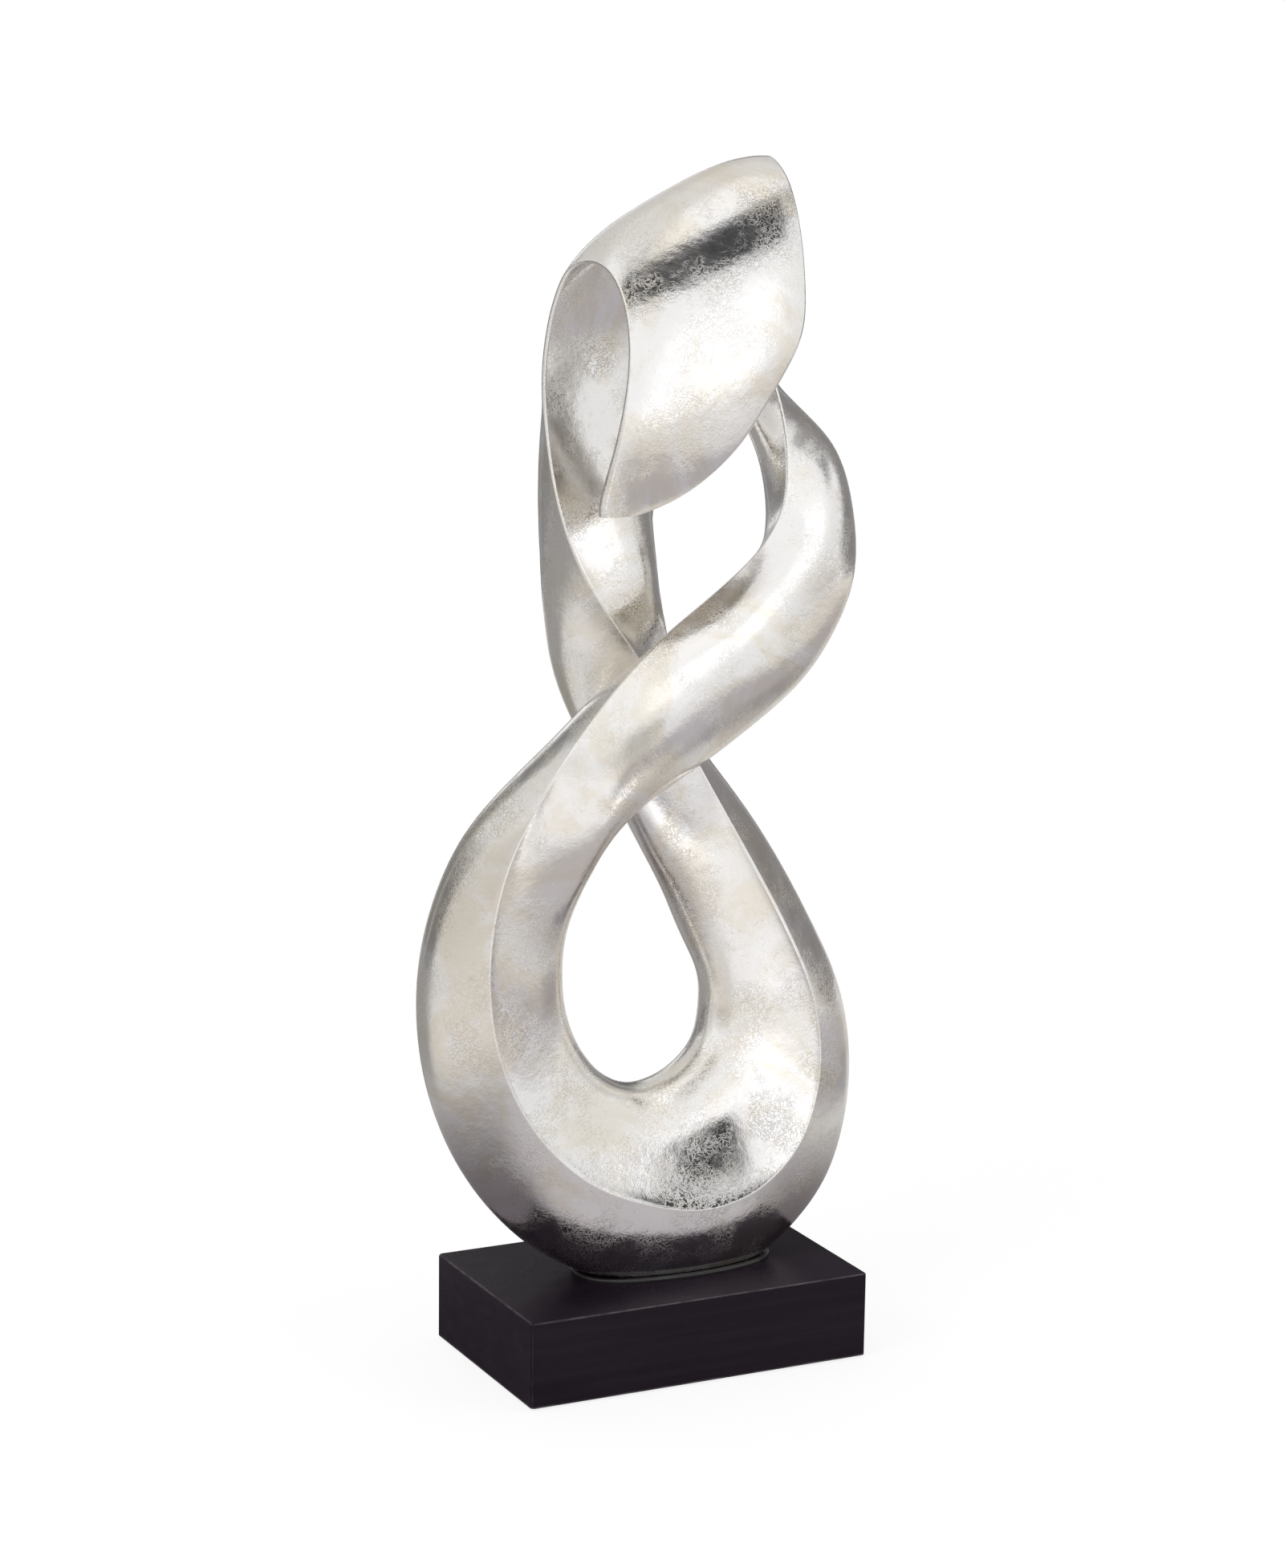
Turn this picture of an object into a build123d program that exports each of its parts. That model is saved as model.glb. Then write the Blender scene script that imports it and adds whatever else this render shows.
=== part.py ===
import os

from build123d import *

# Driving dimensions in millimetres

# Knot casting, measured from the top of the plinth
knot_height = 608.0
drawn_height = 608.0
loop_axis_x = -16.0
loop_axis_z = 173.0

# Plinth block
plinth_length = 203.0
plinth_depth = 127.0
plinth_block_height = 47.5
plinth_edge_radius = 2.5
plinth_rim_radius = 1.5

# Felt sheet under the plinth
felt_thickness = 1.5
felt_inset = 4.0
felt_corner_radius = 3.0

# Screws that hold the knot, from below
fixing_spacing = 44.0
screw_diameter = 6.0
screw_head_diameter = 10.0
screw_head_height = 6.0
screw_socket_width = 5.0
screw_socket_depth = 3.0
screw_reach = 12.0
screw_clearance = 0.5
counterbore_clearance = 2.0
counterbore_depth = 14.0
washer_diameter = 16.0
washer_thickness = 1.6
washer_bore_clearance = 0.2

# Threaded inserts in the foot of the knot
insert_diameter = 9.0
insert_length = 14.0
insert_thread_clearance = 0.1
insert_hole_relief = 2.0

# Adhesive bead around the foot
bead_reach = 3.0
bead_height = 2.0
bead_edge_radius = 1.2
bead_gap = 0.1

# The knot is one band that runs in a figure of eight and ends in a hood. Each station below is a
# cross-section of the band: the ridge and the heel are its two long edges, and the bulges are how
# far its two faces stand off the line between them, first the face that becomes the outside of the
# hood and then the one that becomes its inside. A dish hollows a face near the edges when positive
# and fills it when negative, the edge is the blunt width of ridge and heel, the fan is the share by
# which the section turns to face the axis of the lower loop, and the crown is the share by which the
# first face takes the crowned form of the loop's inside: a broad crest with hollowed flanks.
# The order is: tail of the arm in the hood, front of the crossing, left side, foot.
LEFT_HALF = [
    # ridge x, y, z   heel x, y, z    bulges       dishes       edge  fan crown
    (  61,  17, 585,   54,  20, 573,  1.0,  1.0,  -1.0,  -1.0, 2.0, 0.0, 0.0),
    (  62,  17, 557,   44,  28, 541,  3.0,  1.0,  -1.0,  -1.0, 2.0, 0.0, 0.0),
    (  64,  14, 525,   33,  34, 513,  7.0,  2.0,  -1.0,  -0.5, 2.0, 0.0, 0.0),
    (  67,   6, 495,   42,  36, 489, 11.0,  5.0,  -0.5,   0.0, 1.5, 0.0, 0.0),
    (  69,  -6, 469,   64,  33, 463, 20.0,  8.0,   0.0,   0.2, 1.5, 0.0, 0.0),
    (  66, -18, 443,   84,  28, 435, 30.0, 11.0,  -0.3,   0.3, 1.5, 0.0, 0.0),
    (  59, -25, 419,  101,  19, 398, 30.5, 16.0,  -0.7,   0.3, 1.5, 0.0, 0.0),
    (  45, -23, 397,  107,   4, 367, 27.0, 20.0,  -0.8,   0.1, 1.5, 0.0, 0.0),
    (  20, -21, 376,   82, -14, 329, 24.0, 22.5,  -0.8,   0.0, 1.5, 0.0, 0.0),
    ( -20, -36, 355,   38, -14, 297, 24.5, 24.0,  -0.6,  -0.3, 1.5, 0.0, 0.0),
    ( -56, -48, 327,   -4,  -8, 275, 28.0, 27.0,  -0.2,  -0.6, 1.5, 0.0, 0.0),
    ( -84, -46, 289,  -54,  10, 263, 40.5, 21.0,   0.2,  -0.2, 1.5, 0.4, 0.4),
    (-106, -39, 243,  -94,  24, 237, 51.0, 20.0,  0.45,   0.0, 1.5, 0.8, 0.8),
    (-114, -34, 191, -108,  30, 191, 51.0, 26.0,  0.45,   0.0, 1.5, 1.0, 1.0),
    (-109, -34, 143, -105,  32, 141, 51.0, 32.0,  0.45,  -0.1, 1.5, 1.0, 1.0),
    ( -90, -35,  99,  -87,  34,  97, 53.5, 39.0,  0.45,  -0.3, 1.5, 1.0, 1.0),
    ( -58, -37,  65,  -56,  36,  63, 56.0, 47.0,  0.45,  -0.6, 1.5, 1.0, 1.0),
    ( -20, -38,  47,  -20,  38,  47, 58.0, 52.0,  0.45,  -1.0, 1.5, 1.0, 1.0),
    (  16, -38,  40,   16,  38,  40, 68.0, 52.0,  0.45,  -1.0, 1.5, 1.0, 1.0),
]
# The order goes on: right side, back of the crossing, back wall of the hood, roll, tip of the flap.
RIGHT_HALF = [
    # ridge x, y, z   heel x, y, z    bulges       dishes       edge  fan crown
    (  50, -36,  48,   48,  38,  48, 74.0, 48.0,  0.45,  -0.8, 1.5, 1.0, 1.0),
    (  77, -32,  72,   76,  36,  70, 74.0, 44.0,  0.45,  -0.4, 1.5, 1.0, 1.0),
    (  89, -28, 109,   90,  36, 107, 68.0, 37.0,  0.45,  -0.1, 1.5, 1.0, 1.0),
    (  85, -26, 149,   87,  36, 148, 57.0, 31.0,  0.45,   0.0, 1.5, 1.0, 1.0),
    (  69, -22, 189,   72,  40, 189, 47.5, 23.0,  0.45,   0.1, 1.5, 0.9, 1.0),
    (  47, -14, 233,   46,  44, 227, 42.5, 23.0,   0.4,   0.1, 1.5, 0.6, 0.8),
    (  26,  -4, 275,   10,  46, 257, 39.0, 28.0,   0.3,   0.1, 1.5, 0.2, 0.4),
    (   6,   0, 313,  -20,  46, 287, 34.0, 36.0,   0.2,   0.3, 1.5, 0.0, 0.0),
    ( -17,  -3, 345,  -11,  52, 325, 35.0, 30.0,  -0.3,   0.5, 1.5, 0.0, 0.0),
    ( -40,  -5, 375,    6,  52, 361, 37.0, 25.5,  -0.7,   0.5, 1.5, 0.0, 0.0),
    ( -53,   1, 403,   17,  51, 395, 34.0, 22.5,  -0.8,   0.5, 1.5, 0.0, 0.0),
    ( -59,  10, 433,   19,  48, 429, 30.0, 15.5,  -0.7,   0.2, 2.0, 0.0, 0.0),
    ( -61,  17, 463,   16,  43, 463, 21.0,  4.0,  -0.8,  -0.4, 2.5, 0.0, 0.0),
    ( -62,  19, 487,   36,  38, 495, 13.0, -1.0,  -1.0,  -0.7, 3.0, 0.0, 0.0),
    ( -61,  18, 509,   54,  32, 531,  9.5, -2.5,  -1.0,  -1.0, 3.0, 0.0, 0.0),
    ( -59,  12, 531,   60,  22, 567,  9.5, -2.5,  -1.0,  -1.0, 3.0, 0.0, 0.0),
    ( -55,   3, 548,   60,   8, 593, 10.5, -4.5,  -0.8,  -0.8, 3.0, 0.0, 0.0),
    ( -49, -12, 553,   55, -10, 606, 10.5, -5.5,  -0.6,  -0.6, 3.0, 0.0, 0.0),
    ( -44, -26, 547,   57, -28, 595,  7.5, -2.5,  -0.3,  -0.3, 3.0, 0.0, 0.0),
    ( -42, -38, 531,   58, -40, 571,  5.0, -0.5,  -0.2,  -0.2, 3.0, 0.0, 0.0),
    ( -43, -46, 509,   57, -47, 541,  4.0,  0.0,  -0.2,  -0.2, 3.5, 0.0, 0.0),
    ( -47, -50, 485,   53, -50, 515,  3.5,  0.0,  -0.2,  -0.2, 4.0, 0.0, 0.0),
    ( -52, -50, 462,   38, -50, 489,  3.0,  0.0,  -0.2,  -0.2, 5.0, 0.0, 0.0),
    ( -56, -47, 444,   14, -50, 457,  2.0,  0.5,  -0.2,  -0.2, 6.0, 0.0, 0.0),
    ( -58, -44, 431,  -14, -47, 435,  1.0,  0.5,  -0.2,  -0.2, 6.5, 0.0, 0.0),
    ( -57, -42, 424,  -42, -44, 424,  0.5,  0.5,  -0.2,  -0.2, 6.0, 0.0, 0.0),
]
BAND = LEFT_HALF + RIGHT_HALF
# Falls of the crowned form from its crest, with the 2nd, 4th and 6th power of the place across
CROWN_FALLS = (0.6, 1.4, -1.0)
# Reach along the band, in stations each way, over which its heading is taken
HEADING_REACH = 0.5
# Places across the band, from heel to ridge, where the faces are drawn through
ACROSS = (-1.0, -0.92, -0.75, -0.5, -0.25, 0.0, 0.25, 0.5, 0.75, 0.92, 1.0)
# Sections per station, and how near the foot the last section before it lies, in stations
SECTIONS_PER_STATION = 2
FOOT_NEARNESS = 0.06
# Points that the outer rim of the bead is drawn through
BEAD_POINTS = 24

# Levels and places worked out from the driving dimensions
plinth_base = felt_thickness
plinth_top = plinth_base + plinth_block_height
fixing_places = {"left": (-fixing_spacing / 2, 0), "right": (fixing_spacing / 2, 0)}
washer_seat = plinth_base + counterbore_depth
head_seat = washer_seat - washer_thickness
knot_scale = knot_height / drawn_height
loop_axis = Vector(loop_axis_x, 0, loop_axis_z)
foot_place = len(LEFT_HALF) - 1
tip_place = len(BAND) - 1


def smooth_value(before, start, end, after, share):
    """Value a share of the way from start to end, on a curve that also heeds their neighbours."""
    start_slope = (end - before) / 2
    end_slope = (after - start) / 2
    rise = end - start
    return (
        start
        + start_slope * share
        + (3 * rise - 2 * start_slope - end_slope) * share**2
        + (start_slope + end_slope - 2 * rise) * share**3
    )


def station_at(place):
    """Row of the band at a place counted in stations from the tail."""
    place = min(max(place, 0), tip_place)
    index = min(int(place), tip_place - 1)
    rows = [BAND[min(max(index + step, 0), tip_place)] for step in (-1, 0, 1, 2)]
    return [smooth_value(*values, place - index) for values in zip(*rows)]


def middle_at(place):
    """Point halfway between the ridge and the heel."""
    station = station_at(place)
    return (Vector(*station[0:3]) + Vector(*station[3:6])) / 2


def section_plane(place):
    """Plane of a cross-section: X from heel to ridge, Y towards the first face."""
    station = station_at(place)
    centre = middle_at(place)
    chord = Vector(*station[0:3]) - Vector(*station[3:6])
    fan = station[11]
    travel = (middle_at(place + HEADING_REACH) - middle_at(place - HEADING_REACH)).normalized()
    spoke = centre - loop_axis
    around = Vector(-spoke.Z, 0, spoke.X).normalized()
    heading = travel * (1 - fan) + around * fan
    outward = chord.cross(heading)
    origin = centre * knot_scale + Vector(0, 0, plinth_top)
    return Plane(origin=origin, x_dir=chord, z_dir=chord.cross(outward))


def face_points(station, side):
    """Points of the first (+1) or second (-1) face of a station, from heel to ridge."""
    chord = (Vector(*station[0:3]) - Vector(*station[3:6])).length
    bulge, dish, crown = (station[6], station[8], station[12]) if side > 0 else (station[7], station[9], 0)
    points = []
    for across in ACROSS:
        plain = (1 - across**2) * (1 - dish * across**2)
        crowned = 1 - sum(fall * across ** (2 * step) for step, fall in enumerate(CROWN_FALLS, 1))
        rise = bulge * (plain * (1 - crown) + crowned * crown)
        points.append((across * chord / 2 * knot_scale, side * (station[10] / 2 + rise) * knot_scale))
    return points


def band_section(place):
    """Closed profile of the band at a place."""
    station = station_at(place)
    first_face = face_points(station, 1)
    second_face = face_points(station, -1)
    with BuildSketch(section_plane(place)) as profile:
        with BuildLine():
            Spline(*first_face)
            Line(first_face[-1], second_face[-1])
            Spline(*reversed(second_face))
            Line(second_face[0], first_face[0])
        make_face()
    return profile.sketch


def band_sections(end_place):
    """Profiles from an end of the band to the foot."""
    direction = 1 if end_place < foot_place else -1
    count = abs(foot_place - end_place) * SECTIONS_PER_STATION
    places = [end_place + direction * number / SECTIONS_PER_STATION for number in range(count)]
    places += [foot_place - direction * FOOT_NEARNESS, foot_place]
    return [band_section(place) for place in places]


# Left half of the band, from its tail in the hood down to the foot
with BuildPart() as left_half:
    loft(band_sections(0))

# Right half of the band, from the tip of the flap down to the foot
with BuildPart() as right_half:
    loft(band_sections(tip_place))

# Whole band, cut flat at the plinth
with BuildPart() as whole_band:
    add(left_half.part)
    add(right_half.part)
    split(bisect_by=Plane.XY.offset(plinth_top), keep=Keep.TOP)

# Knot casting: the band, drilled for the inserts
with BuildPart() as knot_casting:
    add(whole_band.part)
    with BuildSketch(Plane.XY.offset(plinth_top)):
        with Locations(*fixing_places.values()):
            Circle(insert_diameter / 2)
    extrude(amount=insert_length + insert_hole_relief, mode=Mode.SUBTRACT)
knot_casting.part.label = "knot_casting"


# Seat of the adhesive bead: the outline of the band just above the bead, laid on the plinth
bead_crest = plinth_top + bead_height
seat_cut = section(whole_band.part, section_by=Plane.XY.offset(bead_crest + bead_gap), mode=Mode.PRIVATE)
seat_line = seat_cut.face().outer_wire()
seat_face = Face(seat_line).moved(Location((0, 0, plinth_top - bead_crest - bead_gap)))


def bead_rim_points():
    """Points round the seat, moved outwards by the reach of the bead."""
    points = []
    for number in range(BEAD_POINTS):
        point = seat_line.position_at(number / BEAD_POINTS)
        outward = seat_line.tangent_at(number / BEAD_POINTS).cross(Vector(0, 0, 1))
        if outward.dot(point - seat_face.center()) < 0:
            outward = -outward
        rim_point = point + outward.normalized() * bead_reach
        points.append((rim_point.X, rim_point.Y))
    return points


# Adhesive bead: a ring round the foot that leans on the knot
with BuildPart() as adhesive_bead:
    with BuildSketch(Plane.XY.offset(plinth_top)):
        with BuildLine():
            Spline(*bead_rim_points(), periodic=True)
        make_face()
        add(seat_face, mode=Mode.SUBTRACT)
    extrude(amount=bead_height)
    rim_edge = adhesive_bead.edges().group_by(Axis.Z)[-1].sort_by(SortBy.LENGTH)[-1]
    fillet(rim_edge, bead_edge_radius)
adhesive_bead.part.label = "adhesive_bead"

# Plinth block with two screw passages, counterbored from below
with BuildPart() as plinth_block:
    with BuildSketch(Plane.XY.offset(plinth_base)):
        Rectangle(plinth_length, plinth_depth)
    extrude(amount=plinth_block_height)
    fillet(plinth_block.edges().filter_by(Axis.Z), plinth_edge_radius)
    fillet(plinth_block.faces().sort_by(Axis.Z)[-1].edges(), plinth_rim_radius)
    with Locations(Plane.XY.offset(plinth_base).rotated((180, 0, 0))):
        with Locations(*fixing_places.values()):
            CounterBoreHole(
                radius=screw_diameter / 2 + screw_clearance,
                counter_bore_radius=washer_diameter / 2 + counterbore_clearance,
                counter_bore_depth=counterbore_depth,
            )
plinth_block.part.label = "plinth_block"

# Felt sheet glued under the plinth, over the screw passages
with BuildPart() as felt_sheet:
    with BuildSketch():
        RectangleRounded(plinth_length - 2 * felt_inset, plinth_depth - 2 * felt_inset, felt_corner_radius)
    extrude(amount=felt_thickness)
felt_sheet.part.label = "felt_sheet"

pieces = [knot_casting, adhesive_bead, plinth_block, felt_sheet]

for side, place in fixing_places.items():
    # Brass insert, flush with the foot of the knot
    with BuildPart() as insert:
        with BuildSketch(Plane.XY.offset(plinth_top)):
            with Locations(place):
                Circle(insert_diameter / 2)
                Circle(screw_diameter / 2 + insert_thread_clearance, mode=Mode.SUBTRACT)
        extrude(amount=insert_length)
    insert.part.label = f"insert_{side}"

    # Washer on the floor of the counterbore
    with BuildPart() as washer:
        with BuildSketch(Plane.XY.offset(head_seat)):
            with Locations(place):
                Circle(washer_diameter / 2)
                Circle(screw_diameter / 2 + washer_bore_clearance, mode=Mode.SUBTRACT)
        extrude(amount=washer_thickness)
    washer.part.label = f"washer_{side}"

    # Socket-head screw that reaches up through the washer and the plinth into the insert
    with BuildPart() as screw:
        with BuildSketch(Plane.XY.offset(head_seat)):
            with Locations(place):
                Circle(screw_diameter / 2)
        extrude(amount=plinth_top + screw_reach - head_seat)
        with BuildSketch(Plane.XY.offset(head_seat)):
            with Locations(place):
                Circle(screw_head_diameter / 2)
        extrude(amount=-screw_head_height)
        with BuildSketch(Plane.XY.offset(head_seat - screw_head_height)):
            with Locations(place):
                RegularPolygon(screw_socket_width / 2, 6, major_radius=False)
        extrude(amount=screw_socket_depth, mode=Mode.SUBTRACT)
    screw.part.label = f"screw_{side}"

    pieces += [insert, washer, screw]

os.makedirs("parts", exist_ok=True)
for piece in pieces:
    export_step(piece.part, f"parts/{piece.part.label}.step")
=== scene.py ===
import math

import bmesh
import bpy
import numpy as np
from mathutils import Matrix, Vector, noise


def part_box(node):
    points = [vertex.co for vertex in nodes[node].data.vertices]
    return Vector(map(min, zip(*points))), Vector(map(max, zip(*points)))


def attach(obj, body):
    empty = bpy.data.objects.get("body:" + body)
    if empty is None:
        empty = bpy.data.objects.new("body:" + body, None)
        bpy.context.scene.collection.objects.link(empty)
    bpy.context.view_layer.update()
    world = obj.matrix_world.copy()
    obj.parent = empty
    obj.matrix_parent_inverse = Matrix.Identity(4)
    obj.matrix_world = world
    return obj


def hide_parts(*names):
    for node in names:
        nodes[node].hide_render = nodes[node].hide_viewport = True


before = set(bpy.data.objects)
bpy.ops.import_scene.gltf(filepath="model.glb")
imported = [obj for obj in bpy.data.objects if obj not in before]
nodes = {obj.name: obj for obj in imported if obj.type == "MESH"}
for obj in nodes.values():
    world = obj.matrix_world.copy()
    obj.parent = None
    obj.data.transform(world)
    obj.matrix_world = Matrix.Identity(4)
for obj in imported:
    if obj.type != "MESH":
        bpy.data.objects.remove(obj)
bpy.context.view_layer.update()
scene = bpy.context.scene
MM = 0.001


def direction(az, el):
    """Unit vector at an azimuth from the front (-Y) towards +X and an elevation, in degrees."""
    a, e = math.radians(az), math.radians(el)
    return Vector((math.sin(a) * math.cos(e), -math.cos(a) * math.cos(e), math.sin(e)))


# Camera at the photograph's viewing angle
IMAGE_HEIGHT = 1954
FOCAL_PIXELS = 4794.03
SENSOR_HEIGHT = 36.0
CLIP_START = 0.05
CLIP_END = 50.0
CAMERA_AZIMUTH = -26.31
CAMERA_ELEVATION = 11.89
CAMERA_ROLL = math.radians(0.76)
CAMERA_PLACE = Vector((-0.90797, -1.81672, 0.74771))


def make_camera():
    """Camera with the photograph's field of view, direction and slight roll."""
    data = bpy.data.cameras.new("camera")
    data.sensor_fit = "VERTICAL"
    data.sensor_height = SENSOR_HEIGHT
    data.lens = SENSOR_HEIGHT * FOCAL_PIXELS / IMAGE_HEIGHT
    data.clip_start = CLIP_START
    data.clip_end = CLIP_END
    back = direction(CAMERA_AZIMUTH, CAMERA_ELEVATION)
    level = (-back).cross(Vector((0, 0, 1))).normalized()
    upright = level.cross(-back)
    right = level * math.cos(CAMERA_ROLL) + upright * math.sin(CAMERA_ROLL)
    up = upright * math.cos(CAMERA_ROLL) - level * math.sin(CAMERA_ROLL)
    turn = Matrix((right, up, back)).transposed().to_4x4()
    camera = bpy.data.objects.new("camera", data)
    camera.matrix_world = Matrix.Translation(CAMERA_PLACE) @ turn
    scene.collection.objects.link(camera)
    scene.camera = camera


make_camera()


# Cross-sections of the one band that forms the knot, in millimetres above the plinth
# Each row: ridge x, y, z, heel x, y, z, bulges of the outer and the inner face, their dishes,
# edge width, share of the fan round the lower loop, crown of the outer face.
BAND = [
    (61, 17, 585, 54, 20, 573, 1.0, 1.0, -1.0, -1.0, 2.0, 0.0, 0.0),
    (62, 17, 557, 44, 28, 541, 3.0, 1.0, -1.0, -1.0, 2.0, 0.0, 0.0),
    (64, 14, 525, 33, 34, 513, 7.0, 2.0, -1.0, -0.5, 2.0, 0.0, 0.0),
    (67, 6, 495, 42, 36, 489, 11.0, 5.0, -0.5, 0.0, 1.5, 0.0, 0.0),
    (69, -6, 469, 64, 33, 463, 20.0, 8.0, 0.0, 0.2, 1.5, 0.0, 0.0),
    (66, -18, 443, 84, 28, 435, 30.0, 11.0, -0.3, 0.3, 1.5, 0.0, 0.0),
    (59, -25, 419, 101, 19, 398, 30.5, 16.0, -0.7, 0.3, 1.5, 0.0, 0.0),
    (45, -23, 397, 107, 4, 367, 27.0, 20.0, -0.8, 0.1, 1.5, 0.0, 0.0),
    (20, -21, 376, 82, -14, 329, 24.0, 22.5, -0.8, 0.0, 1.5, 0.0, 0.0),
    (-20, -36, 355, 38, -14, 297, 24.5, 24.0, -0.6, -0.3, 1.5, 0.0, 0.0),
    (-56, -48, 327, -4, -8, 275, 28.0, 27.0, -0.2, -0.6, 1.5, 0.0, 0.0),
    (-84, -46, 289, -54, 10, 263, 40.5, 21.0, 0.2, -0.2, 1.5, 0.4, 0.4),
    (-106, -39, 243, -94, 24, 237, 51.0, 20.0, 0.45, 0.0, 1.5, 0.8, 0.8),
    (-114, -34, 191, -108, 30, 191, 51.0, 26.0, 0.45, 0.0, 1.5, 1.0, 1.0),
    (-109, -34, 143, -105, 32, 141, 51.0, 32.0, 0.45, -0.1, 1.5, 1.0, 1.0),
    (-90, -35, 99, -87, 34, 97, 53.5, 39.0, 0.45, -0.3, 1.5, 1.0, 1.0),
    (-58, -37, 65, -56, 36, 63, 56.0, 47.0, 0.45, -0.6, 1.5, 1.0, 1.0),
    (-20, -38, 47, -20, 38, 47, 58.0, 52.0, 0.45, -1.0, 1.5, 1.0, 1.0),
    (16, -38, 40, 16, 38, 40, 68.0, 52.0, 0.45, -1.0, 1.5, 1.0, 1.0),
    (50, -36, 48, 48, 38, 48, 74.0, 48.0, 0.45, -0.8, 1.5, 1.0, 1.0),
    (77, -32, 72, 76, 36, 70, 74.0, 44.0, 0.45, -0.4, 1.5, 1.0, 1.0),
    (89, -28, 109, 90, 36, 107, 68.0, 37.0, 0.45, -0.1, 1.5, 1.0, 1.0),
    (85, -26, 149, 87, 36, 148, 57.0, 31.0, 0.45, 0.0, 1.5, 1.0, 1.0),
    (69, -22, 189, 72, 40, 189, 47.5, 23.0, 0.45, 0.1, 1.5, 0.9, 1.0),
    (47, -14, 233, 46, 44, 227, 42.5, 23.0, 0.4, 0.1, 1.5, 0.6, 0.8),
    (26, -4, 275, 10, 46, 257, 39.0, 28.0, 0.3, 0.1, 1.5, 0.2, 0.4),
    (6, 0, 313, -20, 46, 287, 34.0, 36.0, 0.2, 0.3, 1.5, 0.0, 0.0),
    (-17, -3, 345, -11, 52, 325, 35.0, 30.0, -0.3, 0.5, 1.5, 0.0, 0.0),
    (-40, -5, 375, 6, 52, 361, 37.0, 25.5, -0.7, 0.5, 1.5, 0.0, 0.0),
    (-53, 1, 403, 17, 51, 395, 34.0, 22.5, -0.8, 0.5, 1.5, 0.0, 0.0),
    (-59, 10, 433, 19, 48, 429, 30.0, 15.5, -0.7, 0.2, 2.0, 0.0, 0.0),
    (-61, 17, 463, 16, 43, 463, 21.0, 4.0, -0.8, -0.4, 2.5, 0.0, 0.0),
    (-62, 19, 487, 36, 38, 495, 13.0, -1.0, -1.0, -0.7, 3.0, 0.0, 0.0),
    (-61, 18, 509, 54, 32, 531, 9.5, -2.5, -1.0, -1.0, 3.0, 0.0, 0.0),
    (-59, 12, 531, 60, 22, 567, 9.5, -2.5, -1.0, -1.0, 3.0, 0.0, 0.0),
    (-55, 3, 548, 60, 8, 593, 10.5, -4.5, -0.8, -0.8, 3.0, 0.0, 0.0),
    (-49, -12, 553, 55, -10, 606, 10.5, -5.5, -0.6, -0.6, 3.0, 0.0, 0.0),
    (-44, -26, 547, 57, -28, 595, 7.5, -2.5, -0.3, -0.3, 3.0, 0.0, 0.0),
    (-42, -38, 531, 58, -40, 571, 5.0, -0.5, -0.2, -0.2, 3.0, 0.0, 0.0),
    (-43, -46, 509, 57, -47, 541, 4.0, 0.0, -0.2, -0.2, 3.5, 0.0, 0.0),
    (-47, -50, 485, 53, -50, 515, 3.5, 0.0, -0.2, -0.2, 4.0, 0.0, 0.0),
    (-52, -50, 462, 38, -50, 489, 3.0, 0.0, -0.2, -0.2, 5.0, 0.0, 0.0),
    (-56, -47, 444, 14, -50, 457, 2.0, 0.5, -0.2, -0.2, 6.0, 0.0, 0.0),
    (-58, -44, 431, -14, -47, 435, 1.0, 0.5, -0.2, -0.2, 6.5, 0.0, 0.0),
    (-57, -42, 424, -42, -44, 424, 0.5, 0.5, -0.2, -0.2, 6.0, 0.0, 0.0),
]
RIDGE = slice(0, 3)
HEEL = slice(3, 6)
OUTER_BULGE, INNER_BULGE, OUTER_DISH, INNER_DISH, EDGE_WIDTH, FAN, CROWN = range(6, 13)
STATIONS = np.array(BAND, float)
LAST_PLACE = len(BAND) - 1
LOOP_AXIS = np.array((-16.0, 0.0, 173.0))
PLINTH_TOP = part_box("plinth_block")[1].z

# Fineness of the knot's mesh
RINGS_PER_STATION = 10
FACE_POINTS = 33
TIP_POINTS = 9
CAP_RINGS = 6

# Rounding of the knot, in millimetres unless said otherwise
RIDGE_RADIUS = 1.6
RIDGE_GROWTH = 0.25  # growth of a ridge's radius with the bulge of its flatter face
CAP_DEPTH = 3.0
CAP_TIP = 0.03  # share of the outline that is left at the tip of a cap
EDGE_REACH = 4.0  # how far wear spreads from an edge
SHARP_ANGLE = math.radians(50)  # edges that bend more stay sharp
HEADING_REACH = 0.5  # stations before and after a place that give its heading
EVEN_REACH = 2  # rings over which the surface is evened out
CROWN_FALLS = (0.6, 1.4, -1.0)  # shares of the 2nd, 4th and 6th power in the fall of a crowned face

# Lip along the lower margin of the flap: radius at places counted in stations
LIP_PLACES = (38, 39, 40, 41, 42, 43, 44)
LIP_RADII = (0.0, 2.0, 3.2, 4.6, 5.6, 5.8, 5.0)
LIP_REACH = 2.6  # width over which the inner face swells to the lip, in lip radii
LIP_PUSH = 0.5  # share of its radius by which the lip is pushed past the edge of the solid
TINY = 1e-6
INWARD = np.array((1.0, -1.0))  # mirrors a point of a section to the side of the inner face


def unit(vector):
    return vector / np.linalg.norm(vector)


def station_at(place):
    """Row of the band at a place counted in stations from the tail."""
    place = min(max(place, 0.0), float(LAST_PLACE))
    index = min(int(place), LAST_PLACE - 1)
    share = place - index
    before, start, end, after = (
        STATIONS[min(max(index + step, 0), LAST_PLACE)] for step in (-1, 0, 1, 2)
    )
    start_slope, end_slope, rise = (end - before) / 2.0, (after - start) / 2.0, end - start
    return (
        start + start_slope * share
        + (3.0 * rise - 2.0 * start_slope - end_slope) * share**2
        + (start_slope + end_slope - 2.0 * rise) * share**3
    )


def middle_at(place):
    row = station_at(place)
    return (row[RIDGE] + row[HEEL]) / 2.0


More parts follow.
